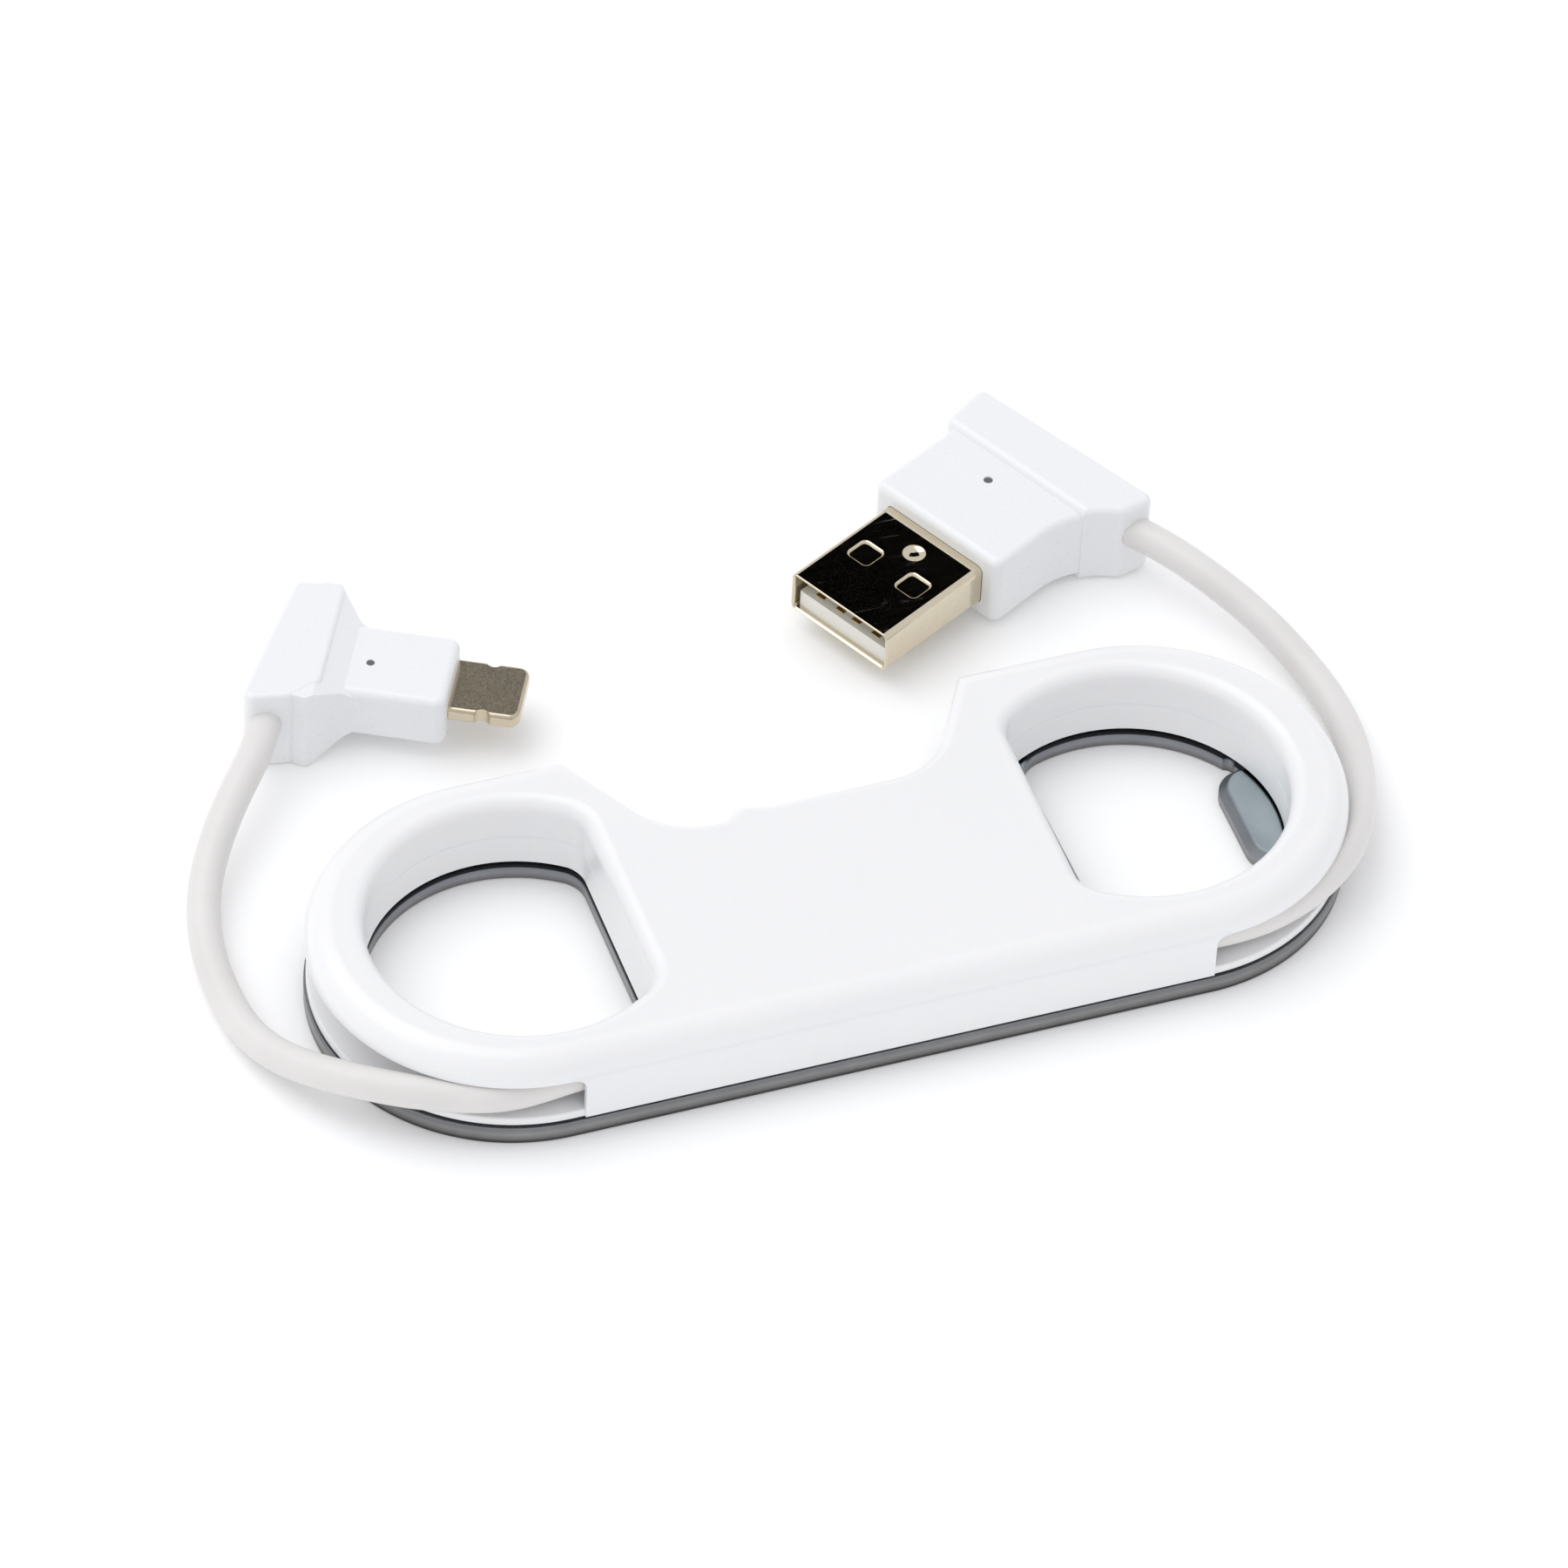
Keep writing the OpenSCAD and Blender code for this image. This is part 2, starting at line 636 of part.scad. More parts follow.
module phone_overmould() {
    neck = [[blade_reach, -4.1, 1], [21, -4.1, 0], [21, 7.6, 0], [18.9, 8.1, 0], [15.8, 5, 3],
            [blade_reach, 4.9, 1]];
    bar = [[17.9, -7.2, 0.9], [22.6, -6.9, 1.2], [24.8, 9.3, 1], [20.3, 8, 1],
           [17.9, 5.6, 1]];
    shoulder_x = 16.3;
    color("whitesmoke") place_plug(phone_tip, phone_turn) difference() {
        union() {
            loft(neck, slab_levels(-phone_neck_h / 2, phone_neck_h / 2, mould_edge_r));
            loft(bar, slab_levels(-bar_h / 2, bar_h / 2, mould_edge_r));
            translate([0, 4.2, 0]) rotate([90, 0, 0]) linear_extrude(7.6)
                polygon([[shoulder_x, -phone_neck_h / 2], [18.5, -bar_h / 2 + 0.2],
                         [18.5, bar_h / 2 - 0.2], [shoulder_x, phone_neck_h / 2]]);
        }
        blade_frame_solid();
        phone_board_solid();
        phone_chip_solid();
        cable_dimple(phone_exit, 1);
    }
}

opener_plate();
lower_shell();
upper_shell();
cable();
usb_shell();
usb_tongue();
for (i = [1:4]) usb_contact(i);
usb_inner_mould();
usb_overmould();
blade_frame();
blade_insulator();
for (i = [1:8]) phone_contact(i);
phone_board();
phone_chip();
phone_overmould();
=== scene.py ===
import math

import bmesh
import bpy
import numpy as np
from mathutils import Matrix


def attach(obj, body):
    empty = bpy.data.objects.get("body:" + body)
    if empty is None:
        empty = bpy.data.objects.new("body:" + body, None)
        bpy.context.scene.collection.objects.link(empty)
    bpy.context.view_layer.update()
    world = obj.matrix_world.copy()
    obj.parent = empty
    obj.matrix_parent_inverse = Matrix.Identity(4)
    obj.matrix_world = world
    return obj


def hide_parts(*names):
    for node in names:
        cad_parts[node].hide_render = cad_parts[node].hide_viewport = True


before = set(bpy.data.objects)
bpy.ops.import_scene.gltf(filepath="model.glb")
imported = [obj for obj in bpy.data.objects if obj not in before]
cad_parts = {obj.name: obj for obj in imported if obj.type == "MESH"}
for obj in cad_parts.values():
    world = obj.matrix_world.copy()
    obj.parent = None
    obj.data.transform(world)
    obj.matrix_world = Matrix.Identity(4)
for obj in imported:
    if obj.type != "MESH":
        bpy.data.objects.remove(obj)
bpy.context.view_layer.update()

scene = bpy.context.scene


# The camera. A long lens looks down on the opener from the front left, as in a product shot,
# with a slight roll. Its place comes from a fit to the round ends of the housing and to both plugs.
def stand(side, up, back, spot):
    """World matrix of a camera or a light: its three axes as columns, then its place."""
    rows = [[*row, place] for row, place in zip(np.stack([side, up, back], 1), spot)]
    return Matrix(rows + [[0, 0, 0, 1]])


azimuth, elevation, roll = math.radians(-20.936), math.radians(45.369), math.radians(2.921)
away = np.array([math.sin(azimuth) * math.cos(elevation), -math.cos(azimuth) * math.cos(elevation),
                 math.sin(elevation)])
level = np.array([math.cos(azimuth), math.sin(azimuth), 0])
upright = np.cross(away, level)
cam_x = level * math.cos(roll) + upright * math.sin(roll)
cam_y = upright * math.cos(roll) - level * math.sin(roll)
target, distance = np.array([0.001878, 0.017661, 0]), 0.955526
lens = bpy.data.cameras.new("camera")
lens.lens = 240
lens.sensor_width = 36
lens.clip_start, lens.clip_end = 0.05, 20
camera = bpy.data.objects.new("camera", lens)
camera.matrix_world = stand(cam_x, cam_y, away, target + away * distance)
scene.collection.objects.link(camera)
scene.camera = camera


# The charging cable. A short lead with a matt thermoplastic elastomer jacket, extruded round its wires,
# which lies in the housing's groove on the near side and swings out round both ends to the plugs.
def point(origin, turn, back, left, z):
    """A point of a plug's plan: back along the plug from its tip, then to its left, in millimetres."""
    a = math.radians(turn)
    return [origin[0] + back * math.cos(a) - left * math.sin(a),
            origin[1] + back * math.sin(a) + left * math.cos(a), z]


def smooth_path(points, gap):
    """A natural cubic through the points, by arc length, resampled every gap: the cubic on each span that has
    the same second derivative as its neighbour where they meet, and none at the ends."""
    points = np.asarray(points, float)
    t = np.r_[0, np.cumsum(np.linalg.norm(np.diff(points, axis=0), axis=1))]
    h = np.diff(t)
    m = (np.diag(np.r_[1, 2 * (h[:-1] + h[1:]), 1]) + np.diag(np.r_[h[:-1], 0], -1)
         + np.diag(np.r_[0, h[1:]], 1))
    slope = np.diff(points, axis=0) / h[:, None]
    bend = np.linalg.solve(m, np.r_[np.zeros((1, 3)), 6 * np.diff(slope, axis=0), np.zeros((1, 3))])
    s = np.linspace(0, t[-1], int(t[-1] / gap) + 1)
    i = np.clip(np.searchsorted(t, s, side="right") - 1, 0, len(h) - 1)
    u, w = (s - t[i])[:, None], (t[i + 1] - s)[:, None]
    hi = h[i][:, None]
    return ((bend[i] * w**3 + bend[i + 1] * u**3) / (6 * hi) + (points[i] / hi - bend[i] * hi / 6) * w
            + (points[i + 1] / hi - bend[i + 1] * hi / 6) * u)


def grid_faces(rows, columns):
    """Quads between neighbouring rows of a grid whose rows close on themselves."""
    r, c = np.meshgrid(np.arange(rows - 1), np.arange(columns), indexing="ij")
    d = (c + 1) % columns
    quads = [r * columns + c, r * columns + d, (r + 1) * columns + d, (r + 1) * columns + c]
    return np.stack(quads, -1).reshape(-1, 4).tolist()


def capped(rings):
    """Closed solid through rings of points, with a flat face on each end: vertices and faces."""
    rows, columns = rings.shape[:2]
    first = list(range(columns))
    last = [(rows - 1) * columns + k for k in first]
    return rings.reshape(-1, 3), [first[::-1]] + grid_faces(rows, columns) + [last]


def piece(name, *solids):
    """One mesh object of closed solids, given in millimetres."""
    start, verts, faces = 0, [], []
    for v, f in solids:
        verts.append(np.asarray(v) * 0.001)
        faces += [[k + start for k in face] for face in f]
        start += len(v)
    mesh = bpy.data.meshes.new(name)
    mesh.from_pydata(np.concatenate(verts).tolist(), [], faces)
    obj = bpy.data.objects.new(name, mesh)
    scene.collection.objects.link(obj)
    return obj


def tube(path, radius, sides):
    """Rings round a path, square to it: centre + radius (cos a side + sin a up), with side level."""
    along = np.gradient(path, axis=0)
    along /= np.linalg.norm(along, axis=1)[:, None]
    side = np.cross([0, 0, 1.0], along)
    side /= np.linalg.norm(side, axis=1)[:, None]
    up = np.cross(along, side)
    a = np.linspace(0, 2 * np.pi, sides, endpoint=False)[None, :, None]
    return path[:, None] + radius * (np.cos(a) * side[:, None] + np.sin(a) * up[:, None])


wide_tip, wide_turn, wide_exit = (11.9, 31.9), 27.6, (27.7, -11.8)
blade_tip, blade_turn, blade_exit = (-18.9, 30.7), 152.2, (22.6, 8.7)
cable_d, cable_z, exit_depth = 3.1, 5.4, 0.8
cable_start = point(wide_tip, wide_turn, wide_exit[0], wide_exit[1] + exit_depth, cable_z)
cable_end = point(blade_tip, blade_turn, blade_exit[0], blade_exit[1] - exit_depth, cable_z)
route = [
    cable_start,
    [44.1, 31.4, 5.3], [47.0, 27.0, 4.6], [49.8, 22.3, 3.4], [51.9, 17.0, 2.3], [53.0, 11.0, 1.8],
    [52.6, 5.0, 2.1], [51.0, -0.4, 3.4], [48.8, -5.6, 4.7], [46.3, -9.6, 5.3], [42.9, -12.6, 5.4],
    [39.2, -14.6, 5.4], [35.0, -15.8, 5.4], [30.0, -16.0, 5.4], [20.0, -16.0, 5.4],
    [7.0, -16.0, 5.4], [-7.0, -16.0, 5.4], [-20.0, -16.0, 5.4], [-30.0, -16.1, 5.4],
    [-35.4, -16.5, 5.4], [-40.2, -15.3, 5.4], [-44.8, -13.0, 5.3], [-49.0, -9.4, 4.5],
    [-52.4, -5.0, 3.2], [-54.5, 0.6, 2.0], [-55.1, 6.6, 1.7], [-54.7, 12.6, 1.9],
    [-53.0, 18.3, 2.8], [-50.4, 22.9, 3.9], [-47.2, 27.2, 4.9], [-44.6, 30.6, 5.3],
    cable_end,
]
cable_path = smooth_path(route, 0.6)
cable = piece("cable_jacket", capped(tube(cable_path, cable_d / 2, 40)))
cable.data.shade_smooth()


def linear(code):
    """Linear colour of an sRGB hex code."""
    c = np.array([int(code[i:i + 2], 16) for i in (1, 3, 5)]) / 255
    return (*np.where(c <= 0.04045, c / 12.92, ((c + 0.055) / 1.055) ** 2.4), 1.0)


def add(tree, kind, settings=None, **links):
    """Adds a node. Settings are its properties or the values of its sockets, and stops are the places and hex
    colours of a ramp. Links join its sockets to others'. A socket goes by name, or by n and its number."""
    node = tree.nodes.new(kind)

    def socket(key):
        return node.inputs[int(key[1:])] if key[0] == "n" and key[1:].isdigit() else node.inputs.get(key)

    for key, value in (settings or {}).items():
        if key == "stops":
            stops = node.color_ramp.elements
            while len(stops) < len(value):
                stops.new(0.5)
            for stop, (where, code) in zip(stops, value):
                stop.position, stop.color = where, linear(code)
        elif socket(key) is not None:
            socket(key).default_value = value
        else:
            setattr(node, key, value)
    for key, source in links.items():
        tree.links.new(source, socket(key.replace("_", " ")))
    return node


def material(name, settings):
    """New material, its node tree, its shader with these values set on the shader's own sockets, and each
    point's place for its patterns."""
    made = bpy.data.materials.new(name)
    made.use_nodes = True
    tree = made.node_tree
    shader = tree.nodes["Principled BSDF"]
    for key, value in settings.items():
        shader.inputs[key].default_value = value
    return made, tree, shader, add(tree, "ShaderNodeTexCoord").outputs["Object"]


def surface(tree, shader, tone, grain=None, rough=None, bump=None):
    """Joins patterns to a shader: a colour, and from one grain the roughness, between two values, and a
    bump of some strength and height."""
    tree.links.new(tone, shader.inputs["Base Color"])
    if rough:
        spread = add(tree, "ShaderNodeMapRange", {"To Min": rough[0], "To Max": rough[1]}, Value=grain)
        tree.links.new(spread.outputs[0], shader.inputs["Roughness"])
    if bump:
        relief = add(tree, "ShaderNodeBump", {"Strength": bump[0], "Distance": bump[1]}, Height=grain)
        tree.links.new(relief.outputs[0], shader.inputs["Normal"])


# Thermoplastic elastomer, extruded: soft sheen, off-white, with a fine drawn grain and faint handling
# marks. The grain is about 0.15 mm; it is drawn at 0.3 mm so that it shows.
jacket, tree, shader, place = material("tpe_extruded_offwhite", {
    "Roughness": 0.42, "IOR": 1.48, "Coat Weight": 0.12, "Coat Roughness": 0.25,
    "Subsurface Weight": 0.08, "Subsurface Scale": 0.001})
cloud = add(tree, "ShaderNodeTexNoise", {"Scale": 160, "Detail": 3.0}, Vector=place).outputs["Fac"]
tone = add(tree, "ShaderNodeValToRGB", {"stops": [(0, "#dedbd8"), (1, "#eae8e6")]},
           Fac=cloud).outputs["Color"]
grain = add(tree, "ShaderNodeTexNoise", {"Scale": 3300, "Detail": 2.0}, Vector=place).outputs["Fac"]
surface(tree, shader, tone, grain, (0.38, 0.5), (0.12, 0.00003))
cable.data.materials.append(jacket)
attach(cable, "root")
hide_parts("cable")


# The steel opener plate. A stamped and tumbled sheet 1.9 mm thick under the whole housing, with a pry lip and
# a bevelled tooth in the right finger hole for a crown cap. Its cut edge shows a burnished band of shearing,
# with painted shade below it and, round the holes, a painted shadow along its top.
def rounded(corners, step=5.0):
    """Outline with round corners: each (x, y, r) corner becomes an arc tangent to its two sides, sampled each
    step degrees. Rows are x, y and how far x and y move when the outline grows outward by one."""
    c = np.asarray(corners, float)
    v, r = c[:, :2], c[:, 2]
    out = []
    for i in range(len(c)):
        before, after = v[i - 1] - v[i], v[(i + 1) % len(c)] - v[i]
        before, after = before / np.linalg.norm(before), after / np.linalg.norm(after)
        way = 1.0 if before[1] * after[0] - before[0] * after[1] > 0 else -1.0
        half = math.acos(np.clip(before @ after, -1, 1)) / 2
        bisector = (before + after) / np.linalg.norm(before + after)
        turn = math.pi - 2 * half
        start = math.atan2(before[0], -before[1])
        if r[i] == 0:
            out.append(np.r_[v[i], -way * bisector / math.sin(half)][None])
            continue
        a = start + way * turn * np.linspace(0, 1, max(2, int(math.degrees(turn) / step) + 1))
        n = np.stack([np.cos(a), np.sin(a)], 1)
        out.append(np.c_[v[i] + bisector * r[i] / math.sin(half) + way * r[i] * n, n])
    out = np.concatenate(out)
    return out[np.linalg.norm(out[:, :2] - np.roll(out[:, :2], 1, axis=0), axis=1) > 1e-4]


def loft(outline, levels):
    """Closed solid whose section at height z is the outline grown by g, for rows (z, g) of levels, from the
    lowest up."""
    z, g = np.asarray(levels, float).T
    xy = outline[None, :, :2] + g[:, None, None] * outline[None, :, 2:]
    return capped(np.concatenate([xy, np.broadcast_to(z[:, None, None], xy.shape[:2] + (1,))], 2))


def edge(z, r, way, n=8, g=0.0):
    """Levels of a quarter round: way 1 closes in towards the top at z, way 2 opens from the bottom at z,
    way 3 flares a cutter's mouth towards the top at z."""
    a = np.linspace(0, np.pi / 2, n + 1)
    if way == 1:
        return list(zip(z - r + r * np.sin(a), g - r + r * np.cos(a)))
    if way == 2:
        return list(zip(z + r - r * np.cos(a), g - r + r * np.sin(a)))
    return list(zip(z - r + r * np.sin(a), g + r - r * np.cos(a)))


def cut(obj, operation, *others):
    """Applies boolean cuts or joins with these objects, which are then removed."""
    for other in others:
        step = obj.modifiers.new("cut", "BOOLEAN")
        step.operation, step.object, step.solver = operation, other, "EXACT"
        bpy.context.view_layer.update()
        done = bpy.data.meshes.new_from_object(obj.evaluated_get(bpy.context.evaluated_depsgraph_get()))
        obj.modifiers.clear()
        old, obj.data = obj.data, done
        bpy.data.meshes.remove(old)
        bpy.data.objects.remove(other)
    return obj


def gather(obj, *others):
    """Adds the meshes of these objects to the first one, untouched, and removes them."""
    work = bmesh.new()
    work.from_mesh(obj.data)
    for other in others:
        work.from_mesh(other.data)
        bpy.data.objects.remove(other)
    work.to_mesh(obj.data)
    work.free()


def finish_faces(obj, angle=28):
    """Smooth shading with sharp creases above the angle, where large flat faces lead their neighbours'
    normals."""
    work = bmesh.new()
    work.from_mesh(obj.data)
    bmesh.ops.remove_doubles(work, verts=work.verts, dist=1e-7)
    bmesh.ops.dissolve_degenerate(work, edges=work.edges, dist=1e-7)
    work.to_mesh(obj.data)
    work.free()
    obj.data.shade_smooth()
    obj.data.set_sharp_from_angle(angle=math.radians(angle))
    steady = obj.modifiers.new("steady", "WEIGHTED_NORMAL")
    steady.keep_sharp = True
    steady.weight = 100


end_x, body_r, body_h, plate_t, split_z = 30.2, 18.4, 9.8, 1.9, 5.4
hole_r, hole_x, bridge_half, hole_corner_r = 13.9, 29.3, 20.1, 3.0
lip_x, lip_slope = 22.9, 0.02
tooth_x, tooth_back, tooth_half, tooth_bevel = 39.1, 45.6, 6.3, 0.85
stadium = rounded([(end_x + body_r, -body_r, body_r), (end_x + body_r, body_r, body_r),
                   (-end_x - body_r, body_r, body_r), (-end_x - body_r, -body_r, body_r)], 2.0)


def d_hole(flat, side):
    """D-shaped finger hole: a circle cut by a flat at x = flat, with round corners; side -1 mirrors it."""
    cx = flat + hole_corner_r
    cy = math.sqrt((hole_r - hole_corner_r) ** 2 - (cx - hole_x) ** 2)
    meet = math.atan2(cy, cx - hole_x)
    top, half = (meet - math.pi / 2) / 2, (math.pi - meet) / 2
    shoulder = (hole_x + hole_r * math.cos(math.pi / 2 + top) / math.cos(top),
                hole_r * math.sin(math.pi / 2 + top) / math.cos(top))
    foot = (cx + hole_corner_r * math.cos(meet + half) / math.cos(half),
            cy + hole_corner_r * math.sin(meet + half) / math.cos(half))
    corners = np.array([(hole_x + hole_r, -hole_r, hole_r), (hole_x + hole_r, hole_r, hole_r),
                        (*shoulder, hole_r), (*foot, hole_corner_r), (foot[0], -foot[1], hole_corner_r),
                        (shoulder[0], -shoulder[1], hole_r)])
    return rounded(corners if side > 0 else (corners * [-1, 1, 1])[::-1], 2.5)


def tool(outline, levels):
    """A loft to cut or to join with."""
    return piece("tool", loft(outline, levels))


# The recess for the plugs: walls at 60 degrees, a deeper bay on the left and a small nose between the bays.
tan60, past = math.tan(math.radians(60)), 4
left_mouth, left_floor, right_mouth, right_floor, nose_y = -20.2, 6.3, 18.7, 7.0, 7.7
left_foot = left_mouth + (body_r - left_floor) / tan60
right_foot = right_mouth - (body_r - right_floor) / tan60
left_corner_r = min(9, (-left_foot - 8.9) / math.tan(math.radians(30)))
recess = rounded([(right_mouth + past / tan60, body_r + past, 0),
                  (left_mouth - past / tan60, body_r + past, 0),
                  (left_foot, left_floor, left_corner_r), (-8.2, left_floor, 1.5), (-6.4, nose_y, 1.5),
                  (-3.6, right_floor, 4), (right_foot, right_floor, 7)], 4.0)
plate = piece("opener_plate_steel", loft(stadium, edge(0, 0.2, 2, 4) + edge(plate_t, 0.12, 1, 4)))
roll_r = 0.25
quarter = np.linspace(0, math.pi / 2, 6)
roll = [(roll_r - roll_r * math.cos(t), roll_r - roll_r * math.sin(t)) for t in quarter]
straight_cut = [(-1, roll_r)] + roll + [(plate_t - roll_r, 0), (plate_t - 0.1, 0.07), (plate_t, roll_r),
                                        (3, roll_r)]
lip_hole = d_hole(lip_x, 1)
near_lip = np.clip((hole_x - lip_hole[:, 0]) / (hole_x - lip_x), 0, 1)
lip_hole[:, 0] -= lip_slope * lip_hole[:, 1] * near_lip ** 2
cut(plate, "DIFFERENCE", tool(recess, straight_cut), tool(d_hole(bridge_half, -1), straight_cut),
    tool(lip_hole, straight_cut))
tooth = rounded([(tooth_x, -tooth_half, 3), (tooth_back, -tooth_half, 0), (tooth_back, tooth_half, 0),
                 (tooth_x, tooth_half, 3)], 4)
cut(plate, "UNION", tool(tooth, edge(0, 0.12, 2, 3) + [(plate_t - tooth_bevel, 0), (plate_t, -tooth_bevel)]))
circle = rounded([(1, -1, 1), (1, 1, 1), (-1, 1, 1), (-1, -1, 1)], 6)


def disc(x, y, r, levels):
    """Round solid of radius r + g at each height z of levels."""
    moved = circle * [r, r, 1, 1] + [x, y, 0, 0]
    return loft(moved, levels)


# Relief notches at both roots of the tooth, and the holes for the housing's four pegs.
root_r, root_y = 0.8, tooth_half + 0.56
root_x = hole_x + math.sqrt(hole_r**2 - root_y**2) - 0.48
notch = [(-1, 0), (plate_t, 0), (3, 0)]
cut(plate, "DIFFERENCE", *[piece("tool", disc(root_x, s * root_y, root_r, notch)) for s in (-1, 1)])
peg_r, peg_hole_r = 1.2, 1.3
peg_places = [(x, y) for x in (-16.8, 16.8) for y in (2.4, -9.6)]
peg_hole = [(-1, 0.1), (0, 0.1), (0.15, 0), (3, 0)]
cut(plate, "DIFFERENCE", *[piece("tool", disc(x, y, peg_hole_r, peg_hole)) for x, y in peg_places])
finish_faces(plate)

# Cold-rolled stainless steel, tumbled after stamping: a pale face with a blue cast and a satin gloss. Its
# sheared edge is given as colours from its foot to the face: a burnished band in the middle, and painted
# shade, darker and browner towards the foot, for the shadowed floor mirrored there; round the holes a painted
# shadow, a dark band along the top, for the gap under the housing. Its scratches run every way, 0.05 mm
# apart, and are drawn at 0.2 mm.
steel, tree, shader, place = material("stainless_tumbled", {"Metallic": 1.0, "Roughness": 0.36})
height = add(tree, "ShaderNodeSeparateXYZ", Vector=place).outputs["Z"]
level_up = add(tree, "ShaderNodeMapRange", {"From Min": 0.0, "From Max": plate_t * 0.001},
               Value=height).outputs[0]
# Painted shade: each edge darker towards its foot, and the rings' tops a near-black painted shadow.
ring_edge_painted_shade, tooth_edge_painted_shade, outer_edge_painted_shade = [
    add(tree, "ShaderNodeValToRGB", {"stops": stops}, Fac=level_up).outputs["Color"] for stops in (
        [(0.0, "#6f6968"), (0.12, "#8b8786"), (0.45, "#a3a5aa"), (0.74, "#989ba2"), (0.82, "#2c2d30"),
         (1.0, "#232427")],
        [(0.0, "#7b7878"), (0.15, "#93928f"), (0.5, "#9a9da0"), (0.88, "#8f9498"), (0.97, "#b2bdc3"),
         (1.0, "#b2bdc3")],
        [(0.0, "#4c4b4b"), (0.14, "#504f50"), (0.32, "#8e8d8c"), (0.6, "#a3a3a3"), (0.85, "#8f9092"),
         (1.0, "#8a8c8f")])]
# Which edge a point is on goes by its distance from the holes' centres: the rings inside both holes, then the
# tooth inside the right one.
hole_centre = (hole_x * 0.001, 0, 0)
flat = add(tree, "ShaderNodeVectorMath", {"operation": "MULTIPLY", "n1": (1, 1, 0)}, Vector=place).outputs[0]
either = add(tree, "ShaderNodeVectorMath", {"operation": "ABSOLUTE"}, Vector=flat).outputs[0]
from_hole, from_middle = [
    add(tree, "ShaderNodeVectorMath", {"operation": "DISTANCE", "n1": hole_centre}, Vector=v).outputs["Value"]
    for v in (either, flat)]
near_hole, inside = [
    add(tree, "ShaderNodeMapRange", {"From Min": (hole_r + far) * 0.001, "From Max": (hole_r + near) * 0.001},
        Value=reach).outputs[0]
    for reach, far, near in ((from_hole, 1.5, 1.0), (from_middle, -0.1, -0.3))]
# The edges' colours, with their painted shade, chosen by place.
either_edge_painted_shade = add(tree, "ShaderNodeMix", {"data_type": "RGBA"}, n0=near_hole, n6=outer_edge_painted_shade, n7=ring_edge_painted_shade)
edges = add(tree, "ShaderNodeMix", {"data_type": "RGBA"}, n0=inside, n6=either_edge_painted_shade.outputs[2], n7=tooth_edge_painted_shade)
cloud = add(tree, "ShaderNodeTexNoise", {"Scale": 300, "Detail": 4.0}, Vector=place).outputs["Fac"]
tone = add(tree, "ShaderNodeValToRGB", {"stops": [(0, "#dcdcdc"), (1, "#ffffff")]},
           Fac=cloud).outputs["Color"]
blend = add(tree, "ShaderNodeMix", {"data_type": "RGBA", "blend_type": "MULTIPLY", "Factor": 1.0},
            n6=edges.outputs[2], n7=tone).outputs[2]
scratches = add(tree, "ShaderNodeTexNoise", {"Scale": 5000, "Detail": 3.0, "Roughness": 0.7}, Vector=place)
surface(tree, shader, blend, scratches.outputs["Fac"], (0.28, 0.44), (0.2, 0.00002))
plate.data.materials.append(steel)
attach(plate, "root")
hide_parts("opener_plate")

# The lower half of the housing. Injection moulded in white ABS: a flange under the cable, the inner wall of
# the groove, and four pegs staked through the steel plate, which stands off by a fine shadow line.
shell_z, flange_z, lip_z, part_line = 2.15, 3.0, 7.05, 0.05
foot_in, flange_in, groove_in = -1.4, -0.2, -4.0
lower_levels = ([(plate_t, foot_in), (shell_z, foot_in)] + edge(shell_z, 0.12, 2, 3, flange_in)
                + edge(flange_z, 0.22, 1, 5, flange_in)
                + [(flange_z, groove_in + 0.1), (flange_z + 0.1, groove_in), (split_z, groove_in)])
lower = piece("lower_shell_skin", loft(stadium, lower_levels))


def socket(x, y0, y1, w, h, r, z):
    """Socket for a stowed plug: a round-cornered rectangle carried along Y from y0 down to y1."""
    section = rounded([(w / 2, -h / 2, r), (w / 2, h / 2, r), (-w / 2, h / 2, r), (-w / 2, -h / 2, r)], 9)
    verts, faces = loft(section, [(0, 0), (y0 - y1, 0)])
    return np.stack([x + verts[:, 0], y0 - verts[:, 2], z + verts[:, 1]], 1), faces


def box(x0, x1, y0, y1, z0, z1):
    """Plain rectangular cutter."""
    return loft(rounded([(x1, y0, 0), (x1, y1, 0), (x0, y1, 0), (x0, y0, 0)]), [(z0, 0), (z1, 0)])


def sockets():
    """Cutters for the sockets of both plugs in the recess's floor."""
    z = (plate_t + body_h) / 2
    return [piece("tool", socket(5.4, 8.0, -4.9, 12.4, 4.9, 0.8, z)),
            piece("tool", socket(-10.6, 7.3, -0.7, 7.1, 1.9, 0.7, z))]


step_back, above = 1.1, split_z + 1
low_recess = [(1, 0), (split_z - part_line, 0), (split_z, part_line), (above, part_line)]
low_cut = [(1, step_back), (shell_z + 0.1, step_back), (shell_z + 0.12, 0)] + low_recess[1:]
flange_cut = box(-28.4, 28.7, -19, -17.6, 1, 3.5)
cut(lower, "DIFFERENCE", tool(recess, low_recess), tool(d_hole(bridge_half, -1), low_cut),
    tool(d_hole(bridge_half, 1), low_cut), *sockets(), piece("tool", flange_cut))
peg = [(0.3, -0.3), (0.38, -0.1), (0.5, 0), (2.5, 0)]
for x, y in peg_places:
    cut(lower, "UNION", piece("tool", disc(x, y, peg_r, peg)))
finish_faces(lower)

